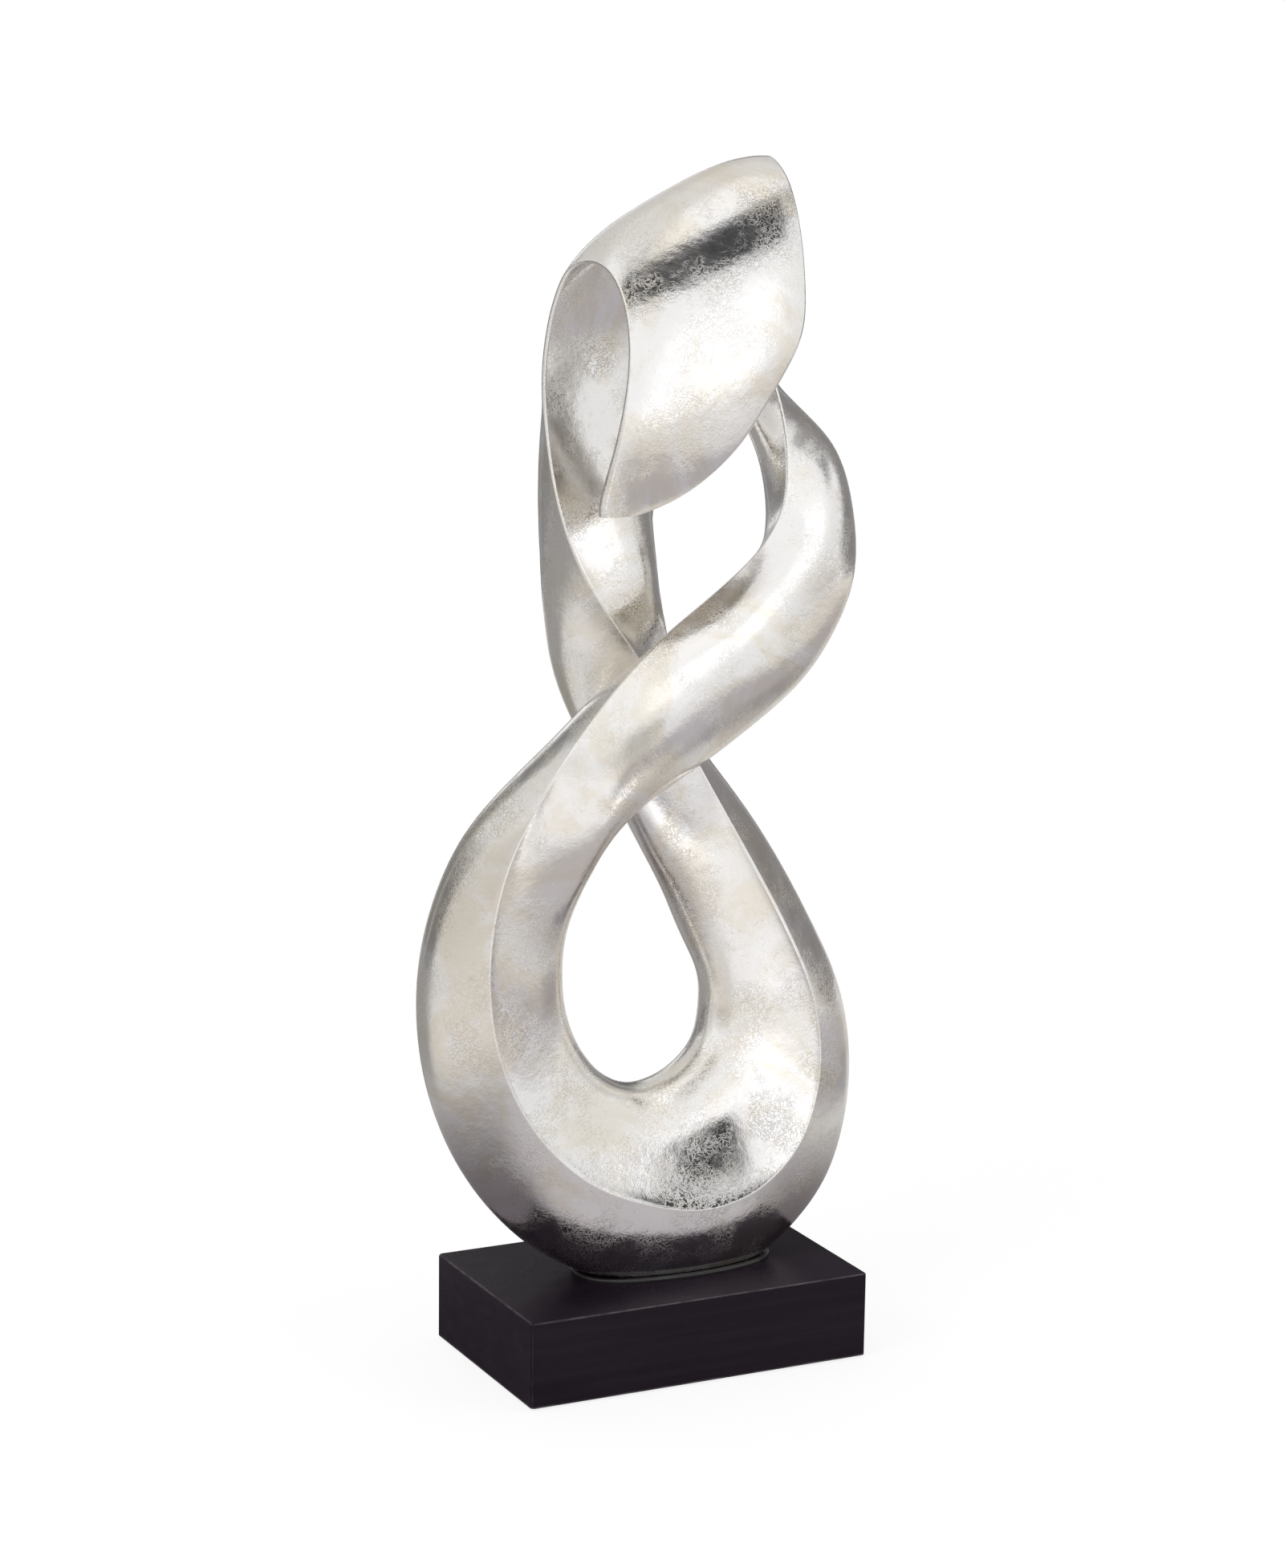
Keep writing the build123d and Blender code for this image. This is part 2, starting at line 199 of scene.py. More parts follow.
def face_profile(half, bulge, dish, crown):
    """Places across a face from heel to ridge, its heights there and its normals."""
    across = -np.cos(np.linspace(0.0, math.pi, FACE_POINTS))
    falls = np.array((1.0 + dish, -dish, 0.0)) * (1.0 - crown) + np.array(CROWN_FALLS) * crown
    rise = bulge * (1.0 - falls[0] * across**2 - falls[1] * across**4 - falls[2] * across**6)
    slope = -bulge * (2 * falls[0] * across + 4 * falls[1] * across**3 + 6 * falls[2] * across**5) / half
    run = np.sqrt(1 + slope**2)
    return across * half, rise, np.stack((-slope / run, 1 / run), 1)


def tip_arc(centre, radius, start_normal, end_normal):
    """Points of a rounded edge from one face's normal to the other's, without its ends."""
    start, end = (math.atan2(normal[1], normal[0]) for normal in (start_normal, end_normal))
    if end > start:
        end -= 2 * math.pi
    turn = np.linspace(start, end, TIP_POINTS)[1:-1]
    return centre + radius * np.stack((np.cos(turn), np.sin(turn)), 1)


def ring_profile(row, lip):
    """Closed outline of a section, as points across and outward, and how near each is to an edge."""
    edge = row[EDGE_WIDTH] / 2.0
    flatter = max(min(row[OUTER_BULGE], row[INNER_BULGE]), 0.0)
    ridge_radius = max(edge, min(RIDGE_RADIUS, edge + RIDGE_GROWTH * flatter))
    heel_radius = max(ridge_radius, lip)
    thicken = heel_radius - ridge_radius
    rounding = ridge_radius - edge
    length = np.linalg.norm(row[RIDGE] - row[HEEL])
    heel = ridge_radius - length / 2.0 - LIP_PUSH * lip
    ridge = length / 2.0 - ridge_radius
    middle, half = (heel + ridge) / 2.0, (ridge - heel) / 2.0

    outer_bulge, inner_bulge = row[OUTER_BULGE] - rounding, row[INNER_BULGE] - rounding
    place, rise, outer_normals = face_profile(half, outer_bulge, row[OUTER_DISH], row[CROWN])
    outer = np.stack((middle + place, rise), 1) + outer_normals * ridge_radius
    lip_offset = -thicken * outer_normals[0]

    # Only the inner face swells to the lip, whose circle touches the outer face
    place, rise, normals = face_profile(half, inner_bulge, row[INNER_DISH], 0.0)
    swell = np.clip(1.0 - (place + half) / (LIP_REACH * lip + TINY), 0.0, 1.0) ** 2
    inner = np.stack((middle + place, rise), 1) + normals * ridge_radius
    inner += swell[:, None] * (lip_offset * INWARD + thicken * normals)
    inner, inner_normals = inner * INWARD, normals * INWARD

    ridge_tip = tip_arc(np.array((ridge, 0.0)), ridge_radius, outer_normals[-1], inner_normals[-1])
    heel_tip = tip_arc(np.array((heel, 0.0)) + lip_offset, heel_radius, inner_normals[0], outer_normals[0])
    near = np.exp(-(half - np.abs(place)) / EDGE_REACH)
    on_edge = np.ones(TIP_POINTS - 2)
    outline = np.concatenate((outer, ridge_tip, inner[::-1], heel_tip))
    return outline, np.clip(np.concatenate((near, on_edge, near[::-1], on_edge)), 0.0, 1.0)


def ring_at(place):
    """Ring of points in millimetres, its nearness to the edges, its centre and its heading."""
    row = station_at(place)
    centre = (row[RIDGE] + row[HEEL]) / 2.0
    chord = unit(row[RIDGE] - row[HEEL])
    travel = unit(middle_at(place + HEADING_REACH) - middle_at(place - HEADING_REACH))
    spoke = centre - LOOP_AXIS
    around = unit(np.array((-spoke[2], 0.0, spoke[0])))
    outward = unit(np.cross(chord, travel * (1 - row[FAN]) + around * row[FAN]))
    profile, near = ring_profile(row, np.interp(place, LIP_PLACES, LIP_RADII))
    points = centre + np.outer(profile[:, 0], chord) + np.outer(profile[:, 1], outward)
    return points, near, centre, unit(np.cross(outward, chord))


def cap_rings(place, side):
    """Rings that round off an end of the band, from the full outline to its tip."""
    points, near, centre, heading = ring_at(place)
    rings = []
    for number in range(1, CAP_RINGS + 1):
        turn = math.pi / 2 * number / CAP_RINGS
        shrink = max(math.cos(turn), CAP_TIP)
        shift = heading * side * CAP_DEPTH * (math.sin(turn) - 1.0)
        rings.append((centre + (points - centre) * shrink + shift, np.ones(len(near))))
    return rings


def even_out(rings):
    """Rings averaged with their neighbours along the band, so that the surface bends evenly."""
    steps = range(-3 * EVEN_REACH, 3 * EVEN_REACH + 1)
    weights = [math.exp(-0.5 * (step / EVEN_REACH) ** 2) for step in steps]
    evened = []
    for index, (points, near) in enumerate(rings):
        room = min(index, len(rings) - 1 - index)
        total, mean = 0.0, np.zeros_like(points)
        for step, weight in zip(steps, weights):
            if abs(step) <= room:
                mean += rings[index + step][0] * weight
                total += weight
        evened.append((mean / total, near))
    return evened


def band_rings():
    """All rings of the band from the tip of its tail to the tip of the flap."""
    first_step = CAP_DEPTH / np.linalg.norm(middle_at(1) - middle_at(0))
    last_step = CAP_DEPTH / np.linalg.norm(middle_at(LAST_PLACE) - middle_at(LAST_PLACE - 1))
    places = np.linspace(first_step, LAST_PLACE - last_step, LAST_PLACE * RINGS_PER_STATION)
    body = even_out([ring_at(place)[0:2] for place in places])
    side = 1.0 if ring_at(0.0)[3] @ (middle_at(1) - middle_at(0)) > 0 else -1.0
    return cap_rings(0.0, -side)[::-1] + body + cap_rings(float(LAST_PLACE), side)


def cut_on_plinth(mesh):
    """Cuts the mesh flat on the plinth, closes the foot and shades all but sharp edges smooth."""
    work = bmesh.new()
    work.from_mesh(mesh)
    bmesh.ops.recalc_face_normals(work, faces=work.faces)
    cut = bmesh.ops.bisect_plane(
        work, geom=work.verts[:] + work.edges[:] + work.faces[:],
        plane_co=(0, 0, PLINTH_TOP), plane_no=(0, 0, 1), clear_inner=True,
    )
    rim = [item for item in cut["geom_cut"] if isinstance(item, bmesh.types.BMEdge)]
    bmesh.ops.contextual_create(work, geom=rim)
    bmesh.ops.recalc_face_normals(work, faces=work.faces)
    for edge in work.edges:
        edge.smooth = len(edge.link_faces) == 2 and edge.calc_face_angle() < SHARP_ANGLE
    for face in work.faces:
        face.smooth = True
    work.to_mesh(mesh)
    work.free()


def build_knot():
    """Closed mesh of the band, with the nearness to its edges kept for the finish."""
    rings = band_rings()
    size = len(rings[0][0])
    points = np.concatenate([ring[0] for ring in rings]) * MM
    points[:, 2] += PLINTH_TOP
    wear = np.concatenate([ring[1] for ring in rings])
    faces = []
    for row in range(len(rings) - 1):
        for column in range(size):
            after = (column + 1) % size
            faces.append((
                row * size + column, row * size + after,
                (row + 1) * size + after, (row + 1) * size + column,
            ))
    faces.append(tuple(reversed(range(size))))
    faces.append(tuple(range((len(rings) - 1) * size, len(rings) * size)))
    mesh = bpy.data.meshes.new("knot")
    mesh.from_pydata(points.tolist(), [], faces)
    mesh.attributes.new("edge_wear", "FLOAT", "POINT").data.foreach_set("value", wear.astype(np.float32))
    cut_on_plinth(mesh)
    made = bpy.data.objects.new("silver_knot", mesh)
    scene.collection.objects.link(made)
    return made


knot = build_knot()
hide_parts("knot_casting")
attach(knot, "root")


# Felt glued under the plinth
FELT_BORDER = (0.0, 0.00015, 0.00035, 0.0007, 0.0012, 0.002, 0.0035)  # grid lines from the border inwards
FELT_STEPS = (64, 40)
FELT_CORNER = 0.003
FELT_ROLL = 0.0005  # radius of its rolled edge
FELT_PILE = 0.00012
FRAY_SCALE = 900.0
PILE_SCALE = 700.0


def felt_lines(half, steps):
    """Places of grid lines from one border of the felt to the other, closer near the borders."""
    inner = half - 2 * FELT_BORDER[-1]
    side = [inset - half for inset in FELT_BORDER]
    return side + np.linspace(-inner, inner, steps).tolist() + [-place for place in reversed(side)]


def unevenness(x, y, layer, scale):
    """Height of the felt's pile at a place, in one layer of a noise."""
    return FELT_PILE * (0.5 + 0.5 * noise.noise(Vector((x, y, layer)) * scale))


def felt_spot(x, y, half):
    """Place of a grid point with rounded corners and a frayed border, and its distance from the border."""
    core = Vector((
        min(max(x, FELT_CORNER - half.x), half.x - FELT_CORNER),
        min(max(y, FELT_CORNER - half.y), half.y - FELT_CORNER),
    ))
    out = Vector((x, y)) - core
    reach = max(abs(out.x), abs(out.y))
    spot = Vector((x, y))
    if out.length > 0:
        spot = core + out.normalized() * (reach - unevenness(x, y, 0.0, FRAY_SCALE))
    return spot, FELT_CORNER - reach


def felt_faces(wide, deep):
    """Faces of the two sides of the felt, each a grid of points, and of the border between them."""
    below = wide * deep
    faces = []
    for row in range(deep - 1):
        for column in range(wide - 1):
            at = row * wide + column
            quad = (at, at + 1, at + wide + 1, at + wide)
            faces.append(quad)
            faces.append(tuple(below + corner for corner in reversed(quad)))
    border = list(range(wide)) + [row * wide + wide - 1 for row in range(1, deep)]
    border += [(deep - 1) * wide + column for column in range(wide - 2, -1, -1)]
    border += [row * wide for row in range(deep - 2, 0, -1)]
    for start, end in zip(border, border[1:] + border[:1]):
        faces.append((end, start, below + start, below + end))
    return faces


def make_felt():
    """Felt sheet with a soft cut edge and an uneven pile underneath."""
    low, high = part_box("felt_sheet")
    centre, half = (low + high) / 2, (high - low) / 2
    columns, rows = felt_lines(half.x, FELT_STEPS[0]), felt_lines(half.y, FELT_STEPS[1])
    points = []
    for top in (True, False):
        for y in rows:
            for x in columns:
                spot, inset = felt_spot(x, y, half)
                roll = FELT_ROLL * (1.0 - math.sqrt(1.0 - (1.0 - min(inset / FELT_ROLL, 1.0)) ** 2))
                z = high.z - roll if top else low.z + roll + unevenness(x, y, 1.0, PILE_SCALE)
                points.append((centre.x + spot.x, centre.y + spot.y, z))
    mesh = bpy.data.meshes.new("felt")
    mesh.from_pydata(points, [], felt_faces(len(columns), len(rows)))
    for face in mesh.polygons:
        face.use_smooth = True
    made = bpy.data.objects.new("felt_underlay", mesh)
    scene.collection.objects.link(made)
    return made


felt_piece = make_felt()
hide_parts("felt_sheet")
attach(felt_piece, "root")


# Short ways to build node trees
MIX_SHARE, MIX_FIRST, MIX_SECOND, MIX_RESULT = 0, 6, 7, 2  # colour sockets of a Mix node
CREASE_WARP = 0.003
WARP_SCALE = 160.0


class Nodes:
    """Node tree of a material or world, empty at first."""

    def __init__(self, owner):
        owner.use_nodes = True
        self.tree = owner.node_tree
        self.tree.nodes.clear()

    def feed(self, socket, value):
        """Links a node's output to a socket, or sets the socket to a plain value."""
        if isinstance(value, bpy.types.NodeSocket):
            self.tree.links.new(value, socket)
        else:
            socket.default_value = value

    def node(self, kind, **inputs):
        made = self.tree.nodes.new("ShaderNode" + kind)
        for name, value in inputs.items():
            self.feed(made.inputs[name.replace("_", " ")], value)
        return made

    def attribute(self, name):
        made = self.node("Attribute")
        made.attribute_name = name
        return made.outputs["Fac"]

    def coordinates(self):
        return self.node("TexCoord").outputs["Object"]

    def distance(self):
        """Distance from the object's origin."""
        made = self.node("VectorMath")
        made.operation = "LENGTH"
        self.feed(made.inputs[0], self.coordinates())
        return made.outputs["Value"]

    def math(self, kind, first, second=0.0):
        made = self.node("Math")
        made.operation = kind
        self.feed(made.inputs[0], first)
        self.feed(made.inputs[1], second)
        return made.outputs[0]

    def times(self, first, second):
        return self.math("MULTIPLY", first, second)

    def span(self, value, low, high, start=0.0, end=1.0):
        """Smooth change from start to end while a value goes from low to high."""
        made = self.node("MapRange", Value=value, From_Min=low, From_Max=high, To_Min=start, To_Max=end)
        made.interpolation_type = "SMOOTHSTEP"
        return made.outputs["Result"]

    def blend(self, share, first, second):
        """Colour between two colours."""
        made = self.node("Mix")
        made.data_type = "RGBA"
        self.feed(made.inputs[MIX_SHARE], share)
        for socket, colour in ((MIX_FIRST, first), (MIX_SECOND, second)):
            plain = isinstance(colour, tuple)
            self.feed(made.inputs[socket], (*colour, 1.0) if plain else colour)
        return made.outputs[MIX_RESULT]

    def seen_or_mirrored(self):
        """1 for camera, glossy and transmission rays, so that the white surround shows in metal too."""
        rays = self.node("LightPath").outputs
        seen = self.math("MAXIMUM", rays["Is Camera Ray"], rays["Is Glossy Ray"])
        return self.math("MAXIMUM", seen, rays["Is Transmission Ray"])

    def output(self, kind, first, second=None, share=None):
        """Output of one shader, or of a share between two."""
        shader = first.outputs[0]
        if second is not None:
            mix = self.node("MixShader")
            for socket, value in zip(mix.inputs, (share, shader, second.outputs[0])):
                self.feed(socket, value)
            shader = mix.outputs[0]
        self.node(kind, Surface=shader)


class Finish(Nodes):
    """Material of a piece, with a Principled shader and textures that stay with the piece."""

    def __init__(self, name):
        self.material = bpy.data.materials.new(name)
        super().__init__(self.material)
        self.shader = self.node("BsdfPrincipled")
        self.output("OutputMaterial", self.shader)
        self.place = self.coordinates()

    def set(self, **values):
        for name, value in values.items():
            self.feed(self.shader.inputs[name.replace("_", " ")], value)

    def stretch(self, scale):
        return self.node("Mapping", Vector=self.place, Scale=scale).outputs["Vector"]

    def warped(self, amount):
        """Place pushed about by a fine noise."""
        cloud = self.node("TexNoise", Vector=self.place, Scale=WARP_SCALE, Detail=3.0)
        push = self.node("VectorMath")
        push.operation = "MULTIPLY_ADD"
        for socket, value in zip(push.inputs, (cloud.outputs["Color"], (amount,) * 3, self.place)):
            self.feed(socket, value)
        return push.outputs[0]

    def noise(self, scale, detail, rough, vector=None, warp=0.0):
        """Noise with a scale per metre, a number of finer layers and how strong those are."""
        made = self.node(
            "TexNoise", Vector=vector or self.place,
            Scale=scale, Detail=detail, Roughness=rough, Distortion=warp,
        )
        return made.outputs["Fac"]

    def creases(self, scale, width):
        """Thin winding lines, 1 along their middle."""
        off = self.math("SUBTRACT", self.noise(scale, 2.0, 0.6, self.warped(CREASE_WARP)), 0.5)
        return self.span(self.math("ABSOLUTE", off), 0.0, width, 1.0, 0.0)

    def near_edges(self, corners, reach):
        """Rises to 1 close to the edges of an upright box."""
        parts = self.node("SeparateXYZ", Vector=self.place)
        sides = []
        for axis, start, end in zip("XYZ", *corners):
            middle, half = (start + end) / 2, (end - start) / 2
            off = self.math("ABSOLUTE", self.math("SUBTRACT", parts.outputs[axis], middle))
            sides.append(self.span(off, half - reach, half - reach / 3))
        x, y, z = sides
        return self.math("MAXIMUM", self.times(x, y), self.times(self.math("MAXIMUM", x, y), z))

    def bump(self, height, strength, distance):
        return self.node("Bump", Height=height, Strength=strength, Distance=distance).outputs["Normal"]


# Colours of the finishes
LEAF_PALE = (0.892, 0.880, 0.866)
LEAF_TARNISHED = (0.838, 0.796, 0.72)
LEAF_CRACK = (0.66, 0.61, 0.51)
LEAF_HAIRLINE = (0.58, 0.53, 0.43)
LEAF_SPECK = (0.50, 0.45, 0.38)
LEAF_WORN = (0.93, 0.92, 0.90)
LACQUER_DARK = (0.0105, 0.0066, 0.0115)
LACQUER_LIGHT = (0.0140, 0.0090, 0.0152)
# Lighter colour of the plinth's edges: rubbed wear together with a painted edge highlight
LACQUER_RUBBED_AND_HIGHLIT = (0.18, 0.165, 0.165)
FELT_DARK = (0.012, 0.011, 0.012)
FELT_LIGHT = (0.034, 0.032, 0.034)
BEAD_DARK = (0.012, 0.010, 0.011)
BEAD_LIGHT = (0.020, 0.018, 0.018)
BRASS_DARK = (0.62, 0.46, 0.21)
BRASS_LIGHT = (0.75, 0.58, 0.29)
STEEL_DARK = (0.54, 0.55, 0.57)
STEEL_LIGHT = (0.66, 0.67, 0.69)
# How far the rubbed wear and the painted edge highlight reach in from the plinth's edges
RUBBED_AND_HIGHLIT_REACH = 0.0011


def silver_leaf():
    """Silver leaf: pale metal with warm tarnish, cracks, hairlines, specks and bright worn edges."""
    s = Finish("silver_leaf")
    tarnish = s.span(s.noise(14.0, 6.0, 0.66, warp=1.0), 0.47, 0.60)
    colour = s.blend(tarnish, LEAF_PALE, LEAF_TARNISHED)

    cracked = s.span(s.noise(34.0, 4.0, 0.6), 0.42, 0.60, 0.12, 1.0)
    cracks = s.times(s.math("MAXIMUM", s.creases(260.0, 0.03), s.creases(520.0, 0.045)), cracked)
    colour = s.blend(s.times(cracks, 0.35), colour, LEAF_CRACK)

    hairlines = s.times(s.creases(75.0, 0.010), s.span(s.noise(30.0, 3.0, 0.6), 0.50, 0.60))
    colour = s.blend(s.times(hairlines, 0.4), colour, LEAF_HAIRLINE)

    specked = s.span(s.noise(24.0, 4.0, 0.65), 0.50, 0.62)
    specks = s.times(s.span(s.noise(640.0, 3.0, 0.7), 0.60, 0.68), specked)
    colour = s.blend(s.times(specks, 0.5), colour, LEAF_SPECK)

    chipped = s.span(s.noise(90.0, 4.0, 0.7), 0.35, 0.6, 0.4, 1.0)
    worn = s.span(s.times(s.attribute("edge_wear"), chipped), 0.55, 0.95)
    colour = s.blend(s.times(worn, 0.3), colour, LEAF_WORN)

    rough = s.span(s.noise(55.0, 4.0, 0.6), 0.3, 0.7, 0.10, 0.19)
    rough = s.math("ADD", rough, s.times(cracks, 0.22))
    wrinkles = s.math("ADD", s.noise(120.0, 5.0, 0.62), s.times(cracks, 0.2))
    s.set(Base_Color=colour, Roughness=rough, Metallic=1.0, Normal=s.bump(wrinkles, 0.25, 0.0008))
    return s.material


def black_lacquer():
    """Satin black lacquer over wood, with a faint grain along the block, and edges made lighter by rubbed
    wear and a painted highlight.
    """
    s = Finish("black_lacquer")
    grain = s.noise(70.0, 4.0, 0.55, s.stretch((0.10, 1.0, 3.0)))
    colour = s.blend(s.span(grain, 0.35, 0.7), LACQUER_DARK, LACQUER_LIGHT)
    chipped = s.span(s.noise(55.0, 4.0, 0.7), 0.35, 0.62, 0.3, 1.0)
    # Lighter edges: rubbed wear of the lacquer together with a painted highlight along every edge
    rubbed_and_highlit = s.times(s.near_edges(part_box("plinth_block"), RUBBED_AND_HIGHLIT_REACH), chipped)
    colour = s.blend(s.times(rubbed_and_highlit, 0.5), colour, LACQUER_RUBBED_AND_HIGHLIT)
    rough = s.span(s.noise(22.0, 4.0, 0.6), 0.3, 0.7, 0.24, 0.38)
    s.set(Base_Color=colour, Roughness=rough, Specular_IOR_Level=0.1, Normal=s.bump(grain, 0.02, 0.0003))
    return s.material


def wool_felt():
    """Black wool felt: short fibres in every direction."""
    s = Finish("felt")
    fibres = s.math("MAXIMUM", s.creases(900.0, 0.06), s.creases(1500.0, 0.07))
    s.set(Base_Color=s.blend(fibres, FELT_DARK, FELT_LIGHT), Roughness=0.95)
    s.set(Sheen_Weight=0.4, Sheen_Roughness=0.5, Normal=s.bump(fibres, 0.6, 0.0003))
    return s.material


def cloudy_gloss(name, dark, light, rough, metallic):
    """Glossy surface with slightly uneven colour and polish."""
    s = Finish(name)
    cloud = s.noise(180.0, 3.0, 0.6)
    s.set(Base_Color=s.blend(cloud, dark, light), Metallic=metallic)
    s.set(Roughness=s.span(cloud, 0.3, 0.7, rough, rough + 0.1))
    return s.material


def paint(item, material):
    item.data.materials.clear()
    item.data.materials.append(material)


paint(knot, silver_leaf())
paint(felt_piece, wool_felt())
paint(nodes["plinth_block"], black_lacquer())
paint(nodes["adhesive_bead"], cloudy_gloss("adhesive", BEAD_DARK, BEAD_LIGHT, 0.06, 0.0))
brass = cloudy_gloss("turned_brass", BRASS_DARK, BRASS_LIGHT, 0.22, 1.0)
steel = cloudy_gloss("zinc_steel", STEEL_DARK, STEEL_LIGHT, 0.26, 1.0)
for side in ("left", "right"):
    paint(nodes["insert_" + side], brass)
    paint(nodes["washer_" + side], steel)
    paint(nodes["screw_" + side], steel)


# White surround and pale floor
WHITE = (1, 1, 1, 1)
WORLD_LEVEL = 0.6
FLOOR_COLOUR = (0.92, 0.92, 0.92, 1)
FLOOR_REACH = 6.0
FLOOR_FADE = (0.2, 0.9)  # distances between which the floor's shading fades to plain white
FLOOR_WHITE_NEAR = 0.86


def make_world():
    """Even light on the object, and plain white where the camera or a mirror looks past it."""
    world = bpy.data.worlds.new("surround")
    s = Nodes(world)
    lit = s.node("Background", Color=WHITE, Strength=WORLD_LEVEL)
    white = s.node("Background", Color=WHITE, Strength=1.0)
    s.output("OutputWorld", lit, white, s.seen_or_mirrored())
    scene.world = world


def link_stage(name, points, faces, material):
    mesh = bpy.data.meshes.new(name)
    mesh.from_pydata(points, [], faces)
    item = bpy.data.objects.new(name, mesh)
    scene.collection.objects.link(item)
    paint(item, material)
    return item


def stage_square(name, reach, height, material):
    front = [(-reach, -reach, height), (reach, -reach, height)]
    back = [(reach, reach, height), (-reach, reach, height)]
    return link_stage(name, front + back, [(0, 1, 2, 3)], material)


def make_floor():
    """Matt floor that keeps the object's shadow and fades to plain white."""
    material = bpy.data.materials.new("pale_floor")
    s = Nodes(material)
    matt = s.node("BsdfDiffuse", Color=FLOOR_COLOUR)
    white = s.node("Emission", Color=WHITE)
    share = s.times(s.seen_or_mirrored(), s.span(s.distance(), *FLOOR_FADE, FLOOR_WHITE_NEAR, 1.0))
    s.output("OutputMaterial", matt, white, share)
    stage_square("floor", FLOOR_REACH, 0.0, material)


# Studio cards that only the metal and the lacquer mirror
# Each: azimuths from the front (-Y) towards +X and elevations in degrees, softness of the borders in
# degrees, and brightness. Each stands a little nearer than the one before it.
CARDS = {
    "overhead_scrim": (-180, 180, 58, 90, 12, (0.78, 0.76, 0.73)),
    "front_top_box": (-22, 64, 51, 80, 7, (1.07, 1.06, 1.05)),
    "rear_scrim": (95, 265, 24, 62, 8, (0.68, 0.665, 0.64)),
    "right_scrim": (38, 82, -26, 34, 9, (0.88, 0.88, 0.88)),
    "right_flag": (82, 132, -40, 45, 7, (0.25, 0.24, 0.24)),
    "upper_right_gap": (46, 104, 40, 50, 5, (0.27, 0.26, 0.26)),
    "camera_gap": (-58, -26, -14, 9, 6, (0.58, 0.57, 0.56)),
    "left_scrim": (-104, -62, -40, 20, 8, (0.68, 0.66, 0.64)),
    "rear_right_flag": (132, 157, -40, 32, 6, (0.24, 0.235, 0.235)),
    "rear_low_flag": (157, 184, -40, 1, 4, (0.24, 0.235, 0.235)),
    "rear_left_flag": (184, 215, -40, 29, 6, (0.24, 0.235, 0.235)),
    "left_side_flag": (-145, -106, -40, 18, 7, (0.22, 0.215, 0.215)),
    "front_low_box": (-16, 40, -14, 1, 5, (0.80, 0.79, 0.80)),
    "front_box": (-16, 36, 2, 20, 7, (0.99, 0.99, 1.00)),
    "plinth_flag": (136, 170, 2, 14, 4, (0.10, 0.095, 0.105)),
}
CARD_CENTRE = (0.0, 0.0, 0.35)
CARD_DISTANCE = 2.6
CARD_SPACING = 0.05
CARD_STEPS = 24
ZENITH = 90
FULL_TURN = 360
# Small cards close to the knot: centre, distance, then as above, and the lean of a strip that leans
# away and shows on one side only
# Each is put only to paint a reflection onto one place of the knot: hood_strip and trough_flag give
# painted dark reflections, trough_gap a painted grey reflection, and trough_glow and flap_glow painted
# highlights
NEAR_CARDS = {
    "hood_strip": ((0.01, -0.03, 0.60), 0.068, -62, 48, 24, 48, 3, (0.05, 0.05, 0.054), 57.0),
    "trough_flag": ((0.0235, -0.028, 0.1185), 0.07, 9, 35, -1, 28, 5, (0.02, 0.02, 0.02)),
    "trough_gap": ((0.0, -0.02, 0.15), 0.28, -14, 16, 36, 56, 6, (0.55, 0.54, 0.53)),
    "trough_glow": ((0.05, -0.022, 0.145), 0.23, -8, 19, 0, 20, 5, (1.30, 1.30, 1.32)),
    "flap_glow": ((-0.01, -0.055, 0.54), 0.30, 6, 43, -11, 26, 4, (1.28, 1.28, 1.30)),
}
# Grey sheet on the table, with a painted shadow that darkens it close to the plinth
TABLE_NEAR_SHADOW = (0.145, 0.13, 0.145)
TABLE_FAR = (0.71, 0.69, 0.665)
TABLE_FADE = (0.14, 0.52)
TABLE_REACH = 2.0
TABLE_HEIGHT = 0.001
# Patches of light and shade on that sheet: azimuths, distances, softness in degrees and metres, brightness
TABLE_PATCHES = {
    "front_near": (-42, 58, 0.05, 0.36, 12, 0.09, (0.53, 0.505, 0.52)),
    "front_far": (-25, 6, 0.44, 2.0, 10, 0.10, (0.98, 0.97, 0.97)),
    "front_spot": (0, 24, 0.40, 0.58, 8, 0.06, (0.92, 0.91, 0.91)),
    "left_glow": (-86, -38, 0.46, 1.2, 12, 0.12, (0.80, 0.78, 0.77)),
    "right_shade": (8, 110, 0.68, 1.6, 7, 0.11, (0.47, 0.45, 0.475)),
    "right_near_shade": (60, 112, 0.50, 0.80, 8, 0.07, (0.36, 0.345, 0.355)),
    "rear_left_shade": (-180, -106, 0.35, 2.0, 10, 0.12, (0.34, 0.33, 0.32)),
    "rear_shade": (-206, -170, 0.32, 0.62, 10, 0.10, (0.30, 0.285, 0.285)),
}
PATCH_HEIGHT = 0.002
PATCH_SPACING = 0.0004


def ease(value, low, high):
    share = min(max((value - low) / (high - low), 0.0), 1.0)
    return share * share * (3.0 - 2.0 * share)


def window(value, low, high, soft):
    """1 between low and high, falling to 0 over the soft borders."""
    return ease(value, low - soft, low + soft) * ease(-value, -high - soft, -high + soft)


def steps_between(low, high):
    return [low + (high - low) * number / CARD_STEPS for number in range(CARD_STEPS + 1)]


def card_material(name, colour, one_sided):
    """Glow that fades to clear at the borders, and on the far side of a one-sided card."""
    material = bpy.data.materials.new(name)
    s = Nodes(material)
    share = s.attribute("fade")
    if one_sided:
        share = s.times(share, s.node("NewGeometry").outputs["Backfacing"])
    s.output("OutputMaterial", s.node("BsdfTransparent"), s.node("Emission", Color=(*colour, 1)), share)
    return material


def only_mirrored(item):
    item.visible_camera = False
    item.visible_diffuse = False
    item.visible_shadow = False
    item.visible_transmission = False
    item.visible_volume_scatter = False


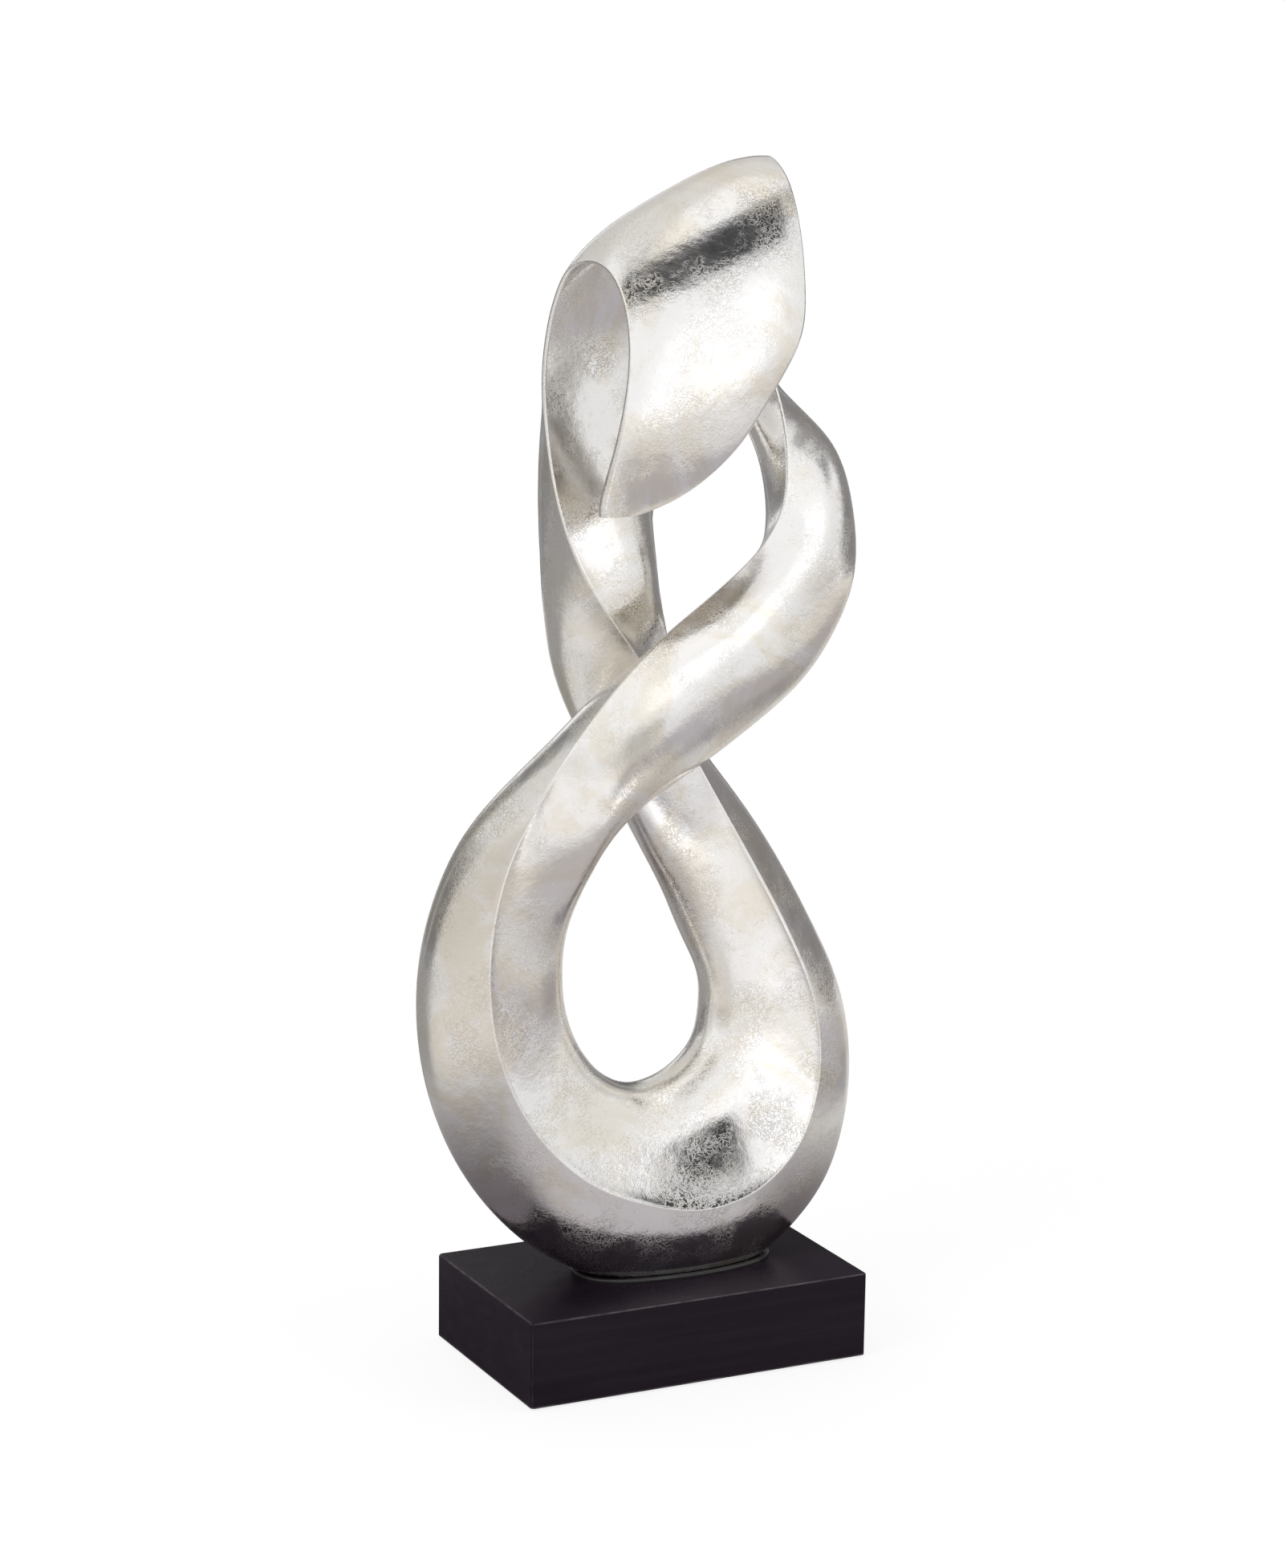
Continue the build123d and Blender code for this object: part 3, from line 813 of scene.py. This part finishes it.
def grid_card(name, points, fades, colour, one_sided=False):
    """Stage sheet of a square grid of points, seen in mirrors only."""
    faces = []
    for row in range(CARD_STEPS):
        for column in range(CARD_STEPS):
            at = row * (CARD_STEPS + 1) + column
            faces.append((at, at + 1, at + CARD_STEPS + 2, at + CARD_STEPS + 1))
    card = link_stage(name, points, faces, card_material(name, colour, one_sided))
    card.data.attributes.new("fade", "FLOAT", "POINT").data.foreach_set("value", fades)
    only_mirrored(card)


def make_card(name, centre, distance, az_from, az_to, el_from, el_to, soft, colour, lean=None):
    """Card on a sphere round a centre, or on a plane that leans away from it."""
    points, fades = [], []
    for el in steps_between(el_from - soft, min(el_to + soft, ZENITH)):
        reach = distance / math.sin(math.radians(lean - el)) if lean else distance
        height_fade = ease(el, el_from - soft, el_from + soft)
        if el_to < ZENITH:
            height_fade = window(el, el_from, el_to, soft)
        for az in steps_between(az_from - soft, az_to + soft):
            points.append(Vector(centre) + direction(az, el) * reach)
            all_round = az_to - az_from >= FULL_TURN
            fades.append(height_fade if all_round else height_fade * window(az, az_from, az_to, soft))
    grid_card(name, points, fades, colour, bool(lean))


def make_table_patch(name, height, az_from, az_to, near, far, az_soft, soft, colour):
    """Part of a ring on the table round the object."""
    points, fades = [], []
    for reach in steps_between(near - soft, far + soft):
        for az in steps_between(az_from - az_soft, az_to + az_soft):
            points.append(direction(az, 0.0) * reach + Vector((0.0, 0.0, height)))
            fades.append(window(reach, near, far, soft) * window(az, az_from, az_to, az_soft))
    grid_card(name, points, fades, colour)


def make_table_card():
    """Grey sheet round the plinth that only the metal mirrors, with a painted shadow close to the plinth.
    """
    material = bpy.data.materials.new("table_card")
    s = Nodes(material)
    shade = s.blend(s.span(s.distance(), *TABLE_FADE), TABLE_NEAR_SHADOW, TABLE_FAR)
    s.output("OutputMaterial", s.node("Emission", Color=shade))
    only_mirrored(stage_square("table_card", TABLE_REACH, TABLE_HEIGHT, material))


# Lamps: place, what they aim at, width, height and power
LAMPS = {
    "left_box": ((-2.2, -1.0, 1.4), (0, 0, 0.35), 1.2, 1.6, 30.0),
    "right_box": ((1.9, -1.4, 1.2), (0, 0, 0.35), 1.0, 1.4, 14.0),
    "top_box": ((0.0, 0.2, 2.4), (0, 0, 0.3), 1.4, 1.4, 20.0),
}


def make_lamp(name, place, aim, width, height, power):
    data = bpy.data.lights.new(name, "AREA")
    data.shape = "RECTANGLE"
    data.size = width
    data.size_y = height
    data.energy = power
    lamp = bpy.data.objects.new(name, data)
    lamp.location = place
    lamp.rotation_euler = (Vector(aim) - Vector(place)).to_track_quat("-Z", "Y").to_euler()
    lamp.visible_glossy = False
    scene.collection.objects.link(lamp)


make_world()
make_floor()
for number, (name, card) in enumerate(CARDS.items()):
    make_card(name, CARD_CENTRE, CARD_DISTANCE - CARD_SPACING * number, *card)
for name, card in NEAR_CARDS.items():
    make_card(name, *card)
make_table_card()
for number, (name, patch) in enumerate(TABLE_PATCHES.items()):
    make_table_patch(name, PATCH_HEIGHT + PATCH_SPACING * number, *patch)
for name, lamp in LAMPS.items():
    make_lamp(name, *lamp)

scene.view_settings.view_transform = "Standard"
